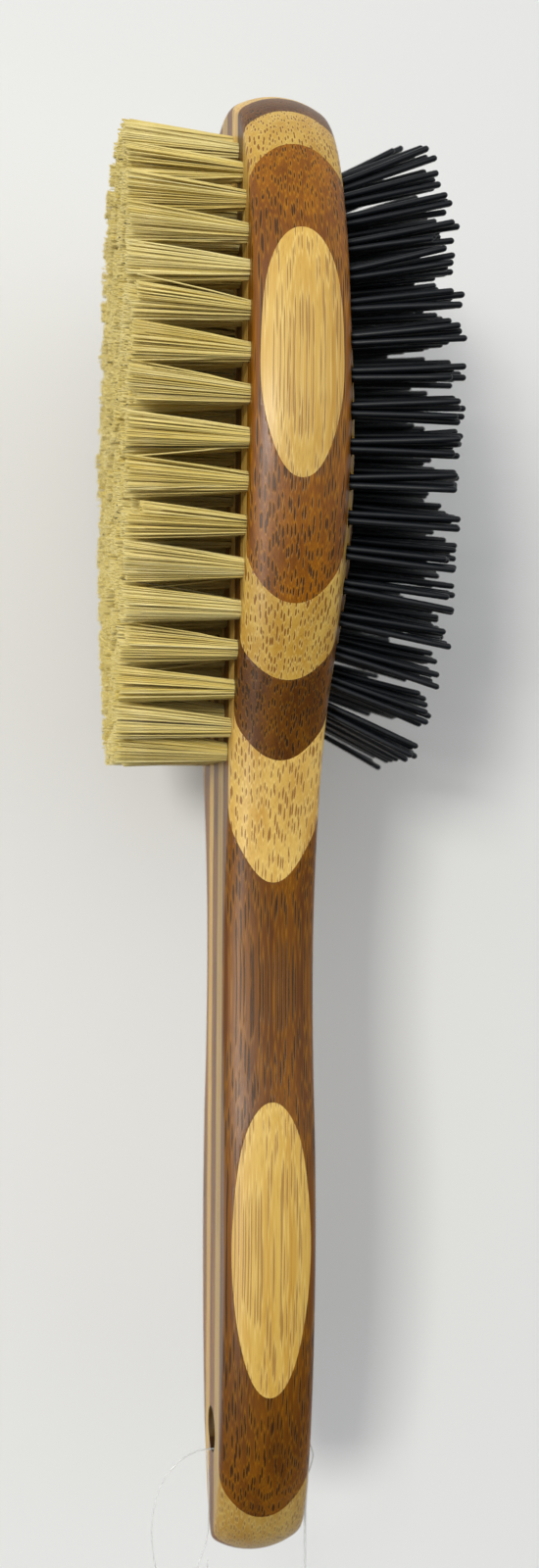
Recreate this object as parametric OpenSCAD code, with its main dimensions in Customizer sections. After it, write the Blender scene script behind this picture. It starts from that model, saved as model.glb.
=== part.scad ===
// Double-sided hair brush: a body glued up from light and dark bamboo boards, natural bristle
// tufts on its flat face and nylon pin tufts on its crowned face. Millimetres, +Z towards the head,
// +X towards the nylon pins, Y across the width. The origin is the centre of the hanging hole.

/* [Body] */
// Overall length of the wooden body, butt to head tip
overall_length = 230; // [222:1:240]
// Widest width of the head
head_width = 64; // [63:0.5:65]
// Narrowest width, at the neck
neck_width = 21.0; // [20:0.2:22]
// Widest width of the grip
grip_width = 26.4; // [25.6:0.2:27]
// Thickness of the head at its rim
head_thickness = 14; // [13.6:0.2:16]
// Thickness of the grip
grip_thickness = 14.2; // [13:0.2:15]
// How far the pin face rises above the rim at the middle of the head
crown_rise = 6.2; // [4:0.2:7]
// How far the long sides bulge past their two corners
side_bulge = 2; // [1.6:0.1:3]

/* [Laminations] */
// Thickness of one bamboo board
board = 4.7; // [4.6:0.05:4.8]
// Thickness of the thinner light board on the far side of the core
thin_board = 3.8; // [2.4:0.1:4.6]

/* [Bristle side] */
// Distance between tuft rows along the head
bristle_pitch = 6.15; // [6:0.05:6.4]
// Diameter of a drilled tuft hole
bristle_hole_d = 3.0; // [2.8:0.1:3.2]
// Depth of a drilled tuft hole
bristle_hole_depth = 6; // [5:0.5:6.5]
// Free length of the natural bristle
bristle_length = 17.5; // [14:0.5:22]
// Width of a tuft at its trimmed end
bristle_flare_d = 4.5; // [3.4:0.1:4.6]

/* [Pin side] */
// Distance between pin rows along the head
pin_pitch = 5.1; // [5:0.05:5.4]
// Diameter of a drilled pin hole
pin_hole_d = 2.9; // [2.8:0.1:3.1]
// Depth of a drilled pin hole
pin_hole_depth = 5; // [4:0.5:5.5]
// Diameter of one nylon strand
strand_d = 0.95; // [0.8:0.05:1]
// Free length of the nylon strands
strand_length = 16; // [12:0.5:20]

/* [Hanging hole] */
// Diameter of the hanging hole
hang_hole_d = 6.6; // [6:0.1:7]
// Distance of the hanging hole's centre from the butt end
hang_inset = 19; // [18:0.5:22]

/* [Hanging loop] */
// Diameter of the clear thread
thread_d = 0.2; // [0.16:0.02:0.2]
// How far the loop hangs below the hole
loop_drop = 36; // [32:1:60]
// How far the loop stands off the bristle face
loop_reach = 8; // [3:0.5:12]

/* [Hidden] */
clear_thread = "#dfe6e4";
light = "#e0bd7c";
dark = "#8a5229";
straw = "#cdbb6a";
black = "#16181b";
steel = "#b9bcc0";

// ---- Outline ---------------------------------------------------------------------------------
z_butt = -hang_inset;
z_tip = overall_length - hang_inset;
x_flat = -7;                    // the flat bristle face

// Height at a fraction of the overall length from the butt
function along(fraction) = z_butt + fraction * overall_length;

// Half outline, butt to tip: half-width as a fraction of a width, that width, fraction of length
outline_table = [
    [0, grip_width, 0],
    [0.167, grip_width, 0.0126], [0.288, grip_width, 0.0417],
    [0.386, grip_width, 0.080], [0.451, grip_width, 0.128],
    [0.490, grip_width, 0.180], [0.500, grip_width, 0.228],
    [0.477, grip_width, 0.285],
    [0.533, neck_width, 0.335], [0.500, neck_width, 0.385],
    [0.519, neck_width, 0.432], [0.603, neck_width, 0.480],
    [0.257, head_width, 0.540], [0.330, head_width, 0.590],
    [0.404, head_width, 0.636], [0.4625, head_width, 0.688],
    [0.494, head_width, 0.745], [0.500, head_width, 0.790],
    [0.489, head_width, 0.845], [0.447, head_width, 0.895],
    [0.375, head_width, 0.940], [0.269, head_width, 0.974],
    [0.134, head_width, 0.994],
    [0, head_width, 1],
];
outline = [for (row = outline_table) [row[0] * row[1], along(row[2])]];
segments = len(outline) - 1;

// The outline is a Catmull-Rom curve. A station is a place on it, 0 at the butt and
// segments at the tip; whole stations are the points of the table.
function mirrored(p) = [-p[0], p[1]];
function control(i) =
    i < 0 ? mirrored(outline[-i])
    : i > segments ? mirrored(outline[2 * segments - i])
    : outline[i];
function segment_of(station) = min(segments - 1, max(0, floor(station)));

// Coefficients of t, t^2 and t^3 of twice the curve, in segment i
function coefficients(i) =
    let(a = control(i - 1), b = control(i), c = control(i + 1), d = control(i + 2))
    [c - a, 2 * a - 5 * b + 4 * c - d, 3 * b - a - 3 * c + d];
function point_at(station) =
    let(i = segment_of(station), t = station - i, k = coefficients(i))
    0.5 * (2 * control(i) + k[0] * t + k[1] * t * t + k[2] * t * t * t);
// Outward normal of the half outline, in [y, z]
function outward(station) =
    let(i = segment_of(station), t = station - i, k = coefficients(i),
        slope = 0.5 * (k[0] + 2 * k[1] * t + 3 * k[2] * t * t),
        normal = [slope[1], -slope[0]])
    normal / norm(normal);

// Station at height z, by halving the range from low to high
function station_at(z, low = 0, high = segments, halvings = 22) =
    let(middle = (low + high) / 2)
    halvings == 0 ? middle
    : point_at(middle)[1] < z ? station_at(z, middle, high, halvings - 1)
    : station_at(z, low, middle, halvings - 1);
// Half-width of the flat face at height z, at least 1
function flat_half(z) = max(1, point_at(station_at(z))[0] - side_bulge);

// ---- Thickness and crown ---------------------------------------------------------------------
// Smooth step from 0 at a to 1 at b
function smooth(a, b, z) = let(t = min(1, max(0, (z - a) / (b - a)))) t * t * (3 - 2 * t);

bulge_power = 2.1;              // roundness of the sides
crown_min = 0.5;                // rise of the crown along the grip
function thickness(z) =
    grip_thickness + (head_thickness - grip_thickness) * smooth(along(0.39), along(0.62), z);
function x_rim(z) = x_flat + thickness(z);
function crown(z) =
    crown_min + (crown_rise - crown_min) * smooth(along(0.50), along(0.70), z)
    * (1 - smooth(along(0.735), along(1.017), z));
// Setback of the side at height x, 0 at mid thickness and side_bulge at both corners
function setback(x, z) =
    side_bulge * pow(abs(2 * (x - x_flat) / thickness(z) - 1), bulge_power);
// X of the crowned face at p = [y, z]
function x_crown(p) =
    x_rim(p[1]) + crown(p[1]) * (1 - pow(min(1, abs(p[0]) / flat_half(p[1])), 2));

// ---- Body ------------------------------------------------------------------------------------
side_steps = 5;                 // steps up a side
crown_steps = 4;                // steps across half the crown
steps_per_segment = 2;          // sections in each outline segment
end_gap = 0.12;                 // stations left off at the butt and the tip
min_half_width = 0.05;
x_low = x_flat - 0.4;           // the sides start below the flat face, which is then cut level

// Point k of a side, from below the flat face up; side is -1 or 1
function side_point(station, k, side) =
    let(p = point_at(station), n = outward(station),
        x = x_low + (x_rim(p[1]) - x_low) * k / side_steps,
        d = setback(x, p[1]))
    [x, side * max(min_half_width, p[0] - d * n[0]), p[1] - d * n[1]];
// Point j of the crown, from the rim to the middle; the crown fades out where the body is narrow
function crown_point(station, j, side) =
    let(rim = side_point(station, side_steps, side), w = abs(rim[1]), f = 1 - j / crown_steps)
    [rim[0] + crown(rim[2]) * (1 - f * f) * smooth(0.2, 6, w), side * w * f, rim[2]];
// Half a section, from below the flat face, over the rim, to the middle of the crown
function half_section(station, side) = concat(
    [for (k = [0:side_steps]) side_point(station, k, side)],
    [for (j = [1:crown_steps]) crown_point(station, j, side)]);
function section_stations(from, to) =
    let(n = round((to - from) * steps_per_segment))
    [for (i = [0:n]) min(segments - end_gap, max(end_gap, from + (to - from) * i / n))];

// Triangles with their indices moved up by offset, and turned over if flip
function placed(faces, offset, flip) = [for (f = faces)
    flip ? [offset + f[0], offset + f[2], offset + f[1]]
    : [offset + f[0], offset + f[1], offset + f[2]]];

// Solid through equal-sized sections, closed by end_faces at both ends
module loft(sections, end_faces, flip) {
    m = len(sections[0]);
    n = len(sections) - 1;
    walls = [for (i = [0:n - 1]) for (k = [0:m - 1])
        let(a = i * m + k, b = i * m + (k + 1) % m, c = a + m, d = b + m)
        each [[a, d, c], [a, b, d]]];
    polyhedron(
        points = [for (section = sections) each section],
        faces = concat(
            placed(walls, 0, flip),
            placed(end_faces, 0, !flip),
            placed(end_faces, n * m, flip)),
        convexity = 6);
}

// The body on one side of its middle plane, between two stations
module half_body(side, span) {
    last = side_steps + crown_steps + 1;
    sections = [for (u = section_stations(span[0], span[1])) let(half = half_section(u, side))
        concat(half, [[x_low, 0, half[0][2]]])];
    loft(sections, [for (k = [0:last - 2]) [last, k, k + 1]], side < 0);
}

// The whole body
module full_body() {
    sections = [for (u = section_stations(0, segments)) concat(
        half_section(u, -1),
        [for (j = [1:crown_steps - 1]) crown_point(u, crown_steps - j, 1)],
        [for (k = [0:side_steps]) side_point(u, side_steps - k, 1)])];
    m = len(sections[0]);
    // an end is a narrow strip between its two sides, then a fan under the crown
    end_faces = concat(
        [for (k = [0:side_steps - 2]) each [[k, k + 1, m - 2 - k], [k, m - 2 - k, m - 1 - k]]],
        [for (k = [side_steps:m - 2 - side_steps]) [side_steps - 1, k, k + 1]],
        [[side_steps - 1, m - 1 - side_steps, m - side_steps]]);
    loft(sections, end_faces, true);
}

// ---- Where the tufts stand -------------------------------------------------------------------
z_field_lo = along(0.545);      // lower end of the tufted field
z_field_hi = along(0.972);      // upper end of the tufted field
z_mid = (z_field_lo + z_field_hi) / 2;
field_station = 11.5;           // the search for the field's edge starts here
field_step = 0.25;              // stations between its points
field_inset = side_bulge + 2.9; // outermost line of tufts, in from the outline
ring_count = 4;                 // closed rings on each face, around one middle row

bristle_ring_step = 6.3;
bristle_row_count = 8;
bristle_span = 0.97;            // the bristle field stops a little short of the tip
pin_ring_step = 6.6;
pin_row_count = 7;
pin_span = 0.85;                // the pin field is shorter at both ends
pin_mid = z_mid - 0.5;

// Distance along closed line p to each of its points, and back to the first
function distances(p) = [
    for (i = 0, s = 0; i <= len(p); s = s + norm(p[(i + 1) % len(p)] - p[i % len(p)]), i = i + 1)
        s];
// Point at distance s along closed line p
function on_line(p, run, s, i = 0) =
    run[i + 1] >= s || i >= len(p) - 1
    ? let(a = p[i], b = p[(i + 1) % len(p)])
        a + (b - a) * (s - run[i]) / max(1e-6, run[i + 1] - run[i])
    : on_line(p, run, s, i + 1);
// Points at equal steps, close to pitch, along closed line p
function spaced(p, pitch) =
    let(run = distances(p), total = run[len(p)], n = round(total / pitch))
    [for (i = [0:n - 1]) on_line(p, run, (i + 0.5) * total / n)];

// The outline set in, closed straight across at the neck
field_side = [for (u = [field_station:field_step:segments - field_step])
    let(q = point_at(u) - field_inset * outward(u))
    if (q[1] > z_field_lo && q[0] > 0) q];
field = concat(field_side,
    [for (i = [0:len(field_side) - 1]) mirrored(field_side[len(field_side) - 1 - i])]);
field_half_width = max([for (p = field) p[0]]);
field_top = max([for (p = field) p[1]]);
field_bottom = min([for (p = field) p[1]]);

// Ring r inside the field's edge, counted from 0, step apart
function ring(step, r) =
    let(half_height = (field_top - field_bottom) / 2, middle = (field_top + field_bottom) / 2)
    [for (p = field) [
        p[0] * max(0.02, field_half_width - step * r) / field_half_width,
        middle + (p[1] - middle) * (half_height - step * r) / half_height]];
function middle_row(n, pitch) = [for (i = [0:n - 1]) [0, z_mid + (i - (n - 1) / 2) * pitch]];

function bristle_line(r) = [for (p = ring(bristle_ring_step, r))
    [p[0], z_field_lo + (p[1] - z_field_lo) * bristle_span]];
function bristles_at(r) =
    r < ring_count ? spaced(bristle_line(r), bristle_pitch)
    : middle_row(bristle_row_count, bristle_pitch);
function pin_line(r) = [for (p = ring(pin_ring_step, r))
    [p[0], pin_mid + (p[1] - z_mid) * pin_span]];
function pins_at(r) =
    r < ring_count ? spaced(pin_line(r), pin_pitch)
    : middle_row(pin_row_count, pin_pitch);
all_bristles = [for (r = [0:ring_count]) each bristles_at(r)];
all_pins = [for (r = [0:ring_count]) each pins_at(r)];

// ---- Tools -----------------------------------------------------------------------------------
// Lean of a pin tuft at p = [y, z], in degrees, so that the tufts fan out
function lean_z(p) =
    let(q = (p[1] - pin_mid) / (pin_span * (z_field_hi - z_mid))) 13 * q + 14 * pow(q, 5);
function lean_y(p) = 17 * p[0] / (head_width / 2);

// Children stand on their face at p, with their own +Z pointing out of the wood
module at_pin(p)
    translate([x_crown(p), p[0], p[1]])
    rotate([0, 0, lean_y(p)])
    rotate([0, -lean_z(p), 0])
    rotate([0, 90, 0])
    children();
module at_bristle(p) translate([x_flat, p[0], p[1]]) rotate([0, -90, 0]) children();

// How far to the side of a board a hole may stand and still be cut from it
bristle_hole_margin = 1.8;
pin_hole_margin = 3.6;
module drill(d, depth, overshoot)
    translate([0, 0, -depth]) cylinder(d = d, h = depth + overshoot, $fn = 24);
// All tuft holes that may touch the board between y0 and y1
module tuft_holes(y0, y1) {
    for (p = all_bristles)
        if (p[0] > y0 - bristle_hole_margin && p[0] < y1 + bristle_hole_margin)
            at_bristle(p) drill(bristle_hole_d, bristle_hole_depth, overshoot = 1);
    for (p = all_pins)
        if (p[0] > y0 - pin_hole_margin && p[0] < y1 + pin_hole_margin)
            at_pin(p) drill(pin_hole_d, pin_hole_depth, overshoot = 3);
}
module hang_bore()
    translate([x_flat - 5, 0, 0]) rotate([0, 90, 0])
    cylinder(d = hang_hole_d, h = grip_thickness + 10, $fn = 48);

// Space of one board, cut level at the flat face
module slab(y0, y1, z0 = z_butt - 10, z1 = z_tip + 10)
    translate([x_flat, y0, z0]) cube([40, y1 - y0, z1 - z0]);

// ---- Boards ----------------------------------------------------------------------------------
half_core = board / 2;
// Distances of the glue lines from the middle plane; the outermost board takes all that is left
near_edges = [for (boards = [0, 1, 2, 3, 4, 5, 6, 8]) half_core + boards * board];
far_edges = [for (i = [0:7]) i == 1 ? half_core + thin_board : near_edges[i]];
near = -1;                      // the -Y side
far = 1;                        // the +Y side

// Stations between which each board is cut
light_1_span = [0, segments];
dark_1_span = [1, segments];
light_2_head_span = [10, 22];
light_2_grip_span = [3, 8];
dark_2_span = [11, 22];
light_3_span = [12, 21];
dark_3_span = [13, 20];
light_4_span = [15, 19];

// Board i on one side, counted out from the core
module strip(side, i, span, drilled = true) {
    edges = side > 0 ? far_edges : near_edges;
    y0 = side > 0 ? edges[i] : -edges[i + 1];
    y1 = side > 0 ? edges[i + 1] : -edges[i];
    difference() {
        intersection() {
            half_body(side, span);
            slab(y0, y1);
        }
        if (drilled) tuft_holes(y0, y1);
        if (edges[i] < hang_hole_d / 2) hang_bore();
    }
}

// The core board is narrower than the hanging hole, which parts it in two.
module core_board() color(dark) difference() {
    intersection() {
        full_body();
        slab(-half_core, half_core, z0 = 0);
    }
    tuft_holes(-half_core, half_core);
    hang_bore();
}
module core_board_butt() color(dark) difference() {
    intersection() {
        full_body();
        slab(-half_core, half_core, z1 = 0);
    }
    hang_bore();
}
module near_light_1() color(light) strip(near, 0, light_1_span);
module near_dark_1() color(dark) strip(near, 1, dark_1_span);
module near_light_2_head() color(light) strip(near, 2, light_2_head_span);
module near_light_2_grip() color(light) strip(near, 2, light_2_grip_span, drilled = false);
module near_dark_2() color(dark) strip(near, 3, dark_2_span);
module near_light_3() color(light) strip(near, 4, light_3_span);
module near_dark_3() color(dark) strip(near, 5, dark_3_span);
module near_light_4() color(light) strip(near, 6, light_4_span, drilled = false);
module far_light_1() color(light) strip(far, 0, light_1_span);
module far_dark_1() color(dark) strip(far, 1, dark_1_span);
module far_light_2_head() color(light) strip(far, 2, light_2_head_span);
module far_light_2_grip() color(light) strip(far, 2, light_2_grip_span, drilled = false);
module far_dark_2() color(dark) strip(far, 3, dark_2_span);
module far_light_3() color(light) strip(far, 4, light_3_span);
module far_dark_3() color(dark) strip(far, 5, dark_3_span);
module far_light_4() color(light) strip(far, 6, light_4_span, drilled = false);

// ---- Tufts -----------------------------------------------------------------------------------
tuft_lift = 0.7;                // foot of a tuft above the floor of its hole
bristle_root_d = bristle_hole_d - 0.12;
strand_offset = 0.71;           // foot of a strand from the middle of its hole
strand_splay = 1.3;             // degrees

// Steel pin across a hole, just above its floor
module anchor(hole_d, depth)
    translate([0, 0, 0.3 - depth]) rotate([90, 0, 0])
    cylinder(d = 0.5, h = hole_d - 0.5, center = true, $fn = 16);

// Natural bristle: gathered in its hole, spreading to a flat trimmed end
module bristle_tuft(p) at_bristle(p) {
    translate([0, 0, tuft_lift - bristle_hole_depth])
        cylinder(d = bristle_root_d, h = bristle_hole_depth - tuft_lift, $fn = 24);
    cylinder(d1 = bristle_root_d, d2 = bristle_flare_d, h = bristle_length, $fn = 24);
}
module bristle_ring(r) color(straw) for (p = bristles_at(r)) bristle_tuft(p);
module bristle_ring_1() bristle_ring(0);
module bristle_ring_2() bristle_ring(1);
module bristle_ring_3() bristle_ring(2);
module bristle_ring_4() bristle_ring(3);
module bristle_row_5() bristle_ring(4);
module bristle_anchors() color(steel)
    for (p = all_bristles) at_bristle(p) anchor(bristle_hole_d, bristle_hole_depth);

// Nylon pins: four strands that spread a little from the bottom of their hole
module pin_tuft(p) at_pin(p)
    for (i = [0:3])
        rotate([0, 0, 45 + 90 * i])
        translate([strand_offset, 0, tuft_lift - pin_hole_depth])
        rotate([0, strand_splay, 0])
        cylinder(d = strand_d, h = pin_hole_depth - tuft_lift + strand_length, $fn = 16);
module pin_ring(r) color(black) for (p = pins_at(r)) pin_tuft(p);
module pin_ring_1() pin_ring(0);
module pin_ring_2() pin_ring(1);
module pin_ring_3() pin_ring(2);
module pin_ring_4() pin_ring(3);
module pin_row_5() pin_ring(4);
module pin_anchors() color(steel)
    for (p = all_pins) at_pin(p) anchor(pin_hole_d, pin_hole_depth);

// ---- Hanging loop ----------------------------------------------------------------------------
// A rounded rectangle of thread, resting on the hole's lower wall and hanging past the butt
bend_r = 2.4;
loop_top = thread_d / 2 + 0.02 - hang_hole_d / 2;
loop_bottom = loop_top - loop_drop;
loop_x0 = x_flat - loop_reach;
loop_x1 = x_rim(0) + crown(0) + bend_r + 0.1;

module thread(length) cylinder(d = thread_d, h = length, $fn = 16);
// Quarter bend about [x, z], starting at angle from
module thread_bend(x, z, from)
    translate([x, 0, z]) rotate([90, 0, 0]) rotate([0, 0, from])
    rotate_extrude(angle = 90, $fn = 48) translate([bend_r, 0]) circle(d = thread_d, $fn = 16);
module hang_loop() color(clear_thread) union() {
    for (z = [loop_top, loop_bottom])
        translate([loop_x0 + bend_r, 0, z]) rotate([0, 90, 0])
            thread(loop_x1 - loop_x0 - 2 * bend_r);
    for (x = [loop_x0, loop_x1])
        translate([x, 0, loop_bottom + bend_r]) thread(loop_drop - 2 * bend_r);
    thread_bend(loop_x1 - bend_r, loop_top - bend_r, 0);
    thread_bend(loop_x0 + bend_r, loop_top - bend_r, 90);
    thread_bend(loop_x0 + bend_r, loop_bottom + bend_r, 180);
    thread_bend(loop_x1 - bend_r, loop_bottom + bend_r, 270);
}

core_board();
core_board_butt();
near_light_1();
near_dark_1();
near_light_2_head();
near_light_2_grip();
near_dark_2();
near_light_3();
near_dark_3();
near_light_4();
far_light_1();
far_dark_1();
far_light_2_head();
far_light_2_grip();
far_dark_2();
far_light_3();
far_dark_3();
far_light_4();
bristle_ring_1();
bristle_ring_2();
bristle_ring_3();
bristle_ring_4();
bristle_row_5();
bristle_anchors();
pin_ring_1();
pin_ring_2();
pin_ring_3();
pin_ring_4();
pin_row_5();
pin_anchors();
hang_loop();
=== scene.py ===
import math

import bpy
import numpy as np
from mathutils import Matrix, Vector


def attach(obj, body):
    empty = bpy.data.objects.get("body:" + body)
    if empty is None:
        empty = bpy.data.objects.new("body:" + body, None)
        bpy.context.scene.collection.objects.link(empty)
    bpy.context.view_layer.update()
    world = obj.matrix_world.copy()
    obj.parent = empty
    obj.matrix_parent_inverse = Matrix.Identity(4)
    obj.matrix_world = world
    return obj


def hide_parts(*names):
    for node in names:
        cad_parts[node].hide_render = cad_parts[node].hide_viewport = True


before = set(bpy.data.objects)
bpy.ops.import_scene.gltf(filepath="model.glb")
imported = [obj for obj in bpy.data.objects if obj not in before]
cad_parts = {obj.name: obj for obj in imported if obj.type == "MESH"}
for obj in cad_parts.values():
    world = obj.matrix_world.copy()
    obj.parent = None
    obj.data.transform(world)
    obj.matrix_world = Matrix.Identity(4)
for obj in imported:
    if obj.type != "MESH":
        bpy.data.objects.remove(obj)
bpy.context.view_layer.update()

MM = 0.001                              # metres in a millimetre

# ---------------------------------------------------------------------------------------------
# The body's shape
# ---------------------------------------------------------------------------------------------
LENGTH, HEAD_W, NECK_W, GRIP_W = 230.0, 64.0, 21.0, 26.4
HEAD_T, GRIP_T = 14.0, 14.2             # thickness from the flat face to the crown's rim
CROWN, CROWN_MIN = 6.2, .5              # height of the crown above its rim
BULGE = 2.0                             # how far the sides bulge at mid thickness
BUTT_Z, FLAT_X = -19.0, -7.0            # the bottom end and the flat face
HANG_R = 3.3                            # the hanging hole


def level(fraction):
    """Height at a fraction of the length."""
    return BUTT_Z + fraction * LENGTH


# Half outline from butt to crest: half width, height as a fraction of the length
OUTLINE = np.array([[half, level(fraction)] for half, fraction in [
    (0, 0), (.167 * GRIP_W, .0126), (.288 * GRIP_W, .0417), (.386 * GRIP_W, .080),
    (.451 * GRIP_W, .128), (.490 * GRIP_W, .180), (.500 * GRIP_W, .228), (.477 * GRIP_W, .285),
    (.533 * NECK_W, .335), (.500 * NECK_W, .385), (.519 * NECK_W, .432), (.603 * NECK_W, .480),
    (.257 * HEAD_W, .540), (.330 * HEAD_W, .590), (.404 * HEAD_W, .636), (.4625 * HEAD_W, .688),
    (.494 * HEAD_W, .745), (.500 * HEAD_W, .790), (.489 * HEAD_W, .845), (.447 * HEAD_W, .895),
    (.375 * HEAD_W, .940), (.269 * HEAD_W, .974), (.134 * HEAD_W, .994), (0, 1)]])
SPANS = len(OUTLINE) - 1
CONTROL = np.vstack([OUTLINE[1] * [-1, 1], OUTLINE, OUTLINE[-2] * [-1, 1]])
NECK_Z = level(.39)


def unit(vec, axis=None):
    return vec / np.linalg.norm(vec, axis=axis, keepdims=True)


def cubic(before, start, end, after, t):
    """Catmull-Rom curve from start to end."""
    return .5 * (2 * start + (end - before) * t
                 + (2 * before - 5 * start + 4 * end - after) * t ** 2
                 + (3 * start - before - 3 * end + after) * t ** 3)


def span(u):
    """The four control points around outline parameter u, and the place between the middle two."""
    u = np.asarray(u, float)
    i = np.clip(np.floor(u).astype(int), 0, SPANS - 1)
    return CONTROL[i], CONTROL[i + 1], CONTROL[i + 2], CONTROL[i + 3], (u - i)[..., None]


def at(u):
    """Half width and height on the outline."""
    return cubic(*span(u))


def outward(u):
    """Unit normal of the outline, in Y and Z."""
    before, start, end, after, t = span(u)
    slope = .5 * ((end - before) + 2 * (2 * before - 5 * start + 4 * end - after) * t
                  + 3 * (3 * start - before - 3 * end + after) * t ** 2)
    return unit(np.stack([slope[..., 1], -slope[..., 0]], -1), axis=-1)


def ease(start, end, value):
    t = np.clip((np.asarray(value, float) - start) / (end - start), 0, 1)
    return t * t * (3 - 2 * t)


def thick(z):
    return GRIP_T + (HEAD_T - GRIP_T) * ease(NECK_Z, level(.62), z)


def rim_x(z):
    return FLAT_X + thick(z)


def crown(z):
    rise = ease(level(.50), level(.70), z)
    fall = ease(level(.735), level(1.017), z)
    return CROWN_MIN + (CROWN - CROWN_MIN) * rise * (1 - fall)


FINE_OUTLINE = at(np.linspace(0, SPANS, 4001))


def pin_top(y, z):
    """X of the crown's surface."""
    half = np.interp(z, FINE_OUTLINE[:, 1], FINE_OUTLINE[:, 0])
    reach = np.maximum(1, half - BULGE)
    return rim_x(z) + crown(z) * (1 - np.minimum(1, abs(y) / reach) ** 2)


def side(u, rise):
    """Points on the side wall: rise 0 at the flat face, 1 at the crown's rim."""
    place, normal = at(u), outward(u)
    x = FLAT_X + thick(place[:, 1]) * rise
    inset = BULGE * abs(2 * rise - 1) ** 2.1
    half = np.maximum(.05, place[:, 0] - inset * normal[:, 0])
    return np.stack([x, half, place[:, 1] - inset * normal[:, 1]], -1)


# ---------------------------------------------------------------------------------------------
# Mesh helpers
# ---------------------------------------------------------------------------------------------
def new_mesh(name, verts, loops, sizes, smooth=True):
    """A mesh from millimetre vertices, the faces' corners in turn and each face's corner count."""
    me = bpy.data.meshes.new(name)
    verts = np.asarray(verts, float).reshape(-1, 3)
    me.vertices.add(len(verts))
    me.vertices.foreach_set("co", (verts * MM).astype(np.float32).ravel())
    me.loops.add(len(loops))
    me.loops.foreach_set("vertex_index", np.asarray(loops, np.int32))
    me.polygons.add(len(sizes))
    starts = np.cumsum(sizes) - sizes
    me.polygons.foreach_set("loop_start", starts.astype(np.int32))
    me.update(calc_edges=True)
    me.validate()
    me.polygons.foreach_set("use_smooth", np.full(len(me.polygons), smooth))
    return me


def face_mesh(name, verts, faces, smooth=True):
    loops = [corner for face in faces for corner in face]
    return new_mesh(name, verts, loops, [len(face) for face in faces], smooth)


def tube_faces(rings, sides, first):
    """Faces of a closed tube whose vertices are numbered from first."""
    faces = []
    for i in range(rings - 1):
        row = first + i * sides
        for k in range(sides):
            here, beside = row + k, row + (k + 1) % sides
            faces.append([here, beside, beside + sides, here + sides])
    last = first + (rings - 1) * sides
    faces.append(list(range(first, first + sides))[::-1])
    faces.append(list(range(last, last + sides)))
    return faces


def angles(sides):
    return np.arange(sides) * 2 * math.pi / sides


def circle(sides, across, over):
    turn = angles(sides)[:, None]
    return np.cos(turn) * across + np.sin(turn) * over


def set_material(me, mat):
    me.materials.clear()
    me.materials.append(mat)


def add(name, me):
    ob = bpy.data.objects.new(name, me)
    bpy.context.scene.collection.objects.link(ob)
    return ob


def stand_in(node, me, mat, ride="brush"):
    """Puts a detailed mesh in the place of a CAD piece."""
    ob = add("v_" + node, me)
    set_material(me, mat)
    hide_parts(node)
    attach(ob, ride)


def boolean(ob, name, cutter_mesh, operation):
    """The mesh of ob after one boolean with a temporary cutter."""
    cutter = add(name, cutter_mesh)
    mod = ob.modifiers.new("cut", "BOOLEAN")
    mod.operation = operation
    mod.object = cutter
    mod.solver = "MANIFOLD"
    depsgraph = bpy.context.evaluated_depsgraph_get()
    me = bpy.data.meshes.new_from_object(ob.evaluated_get(depsgraph))
    ob.modifiers.clear()
    bpy.data.objects.remove(cutter)
    return me


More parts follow.
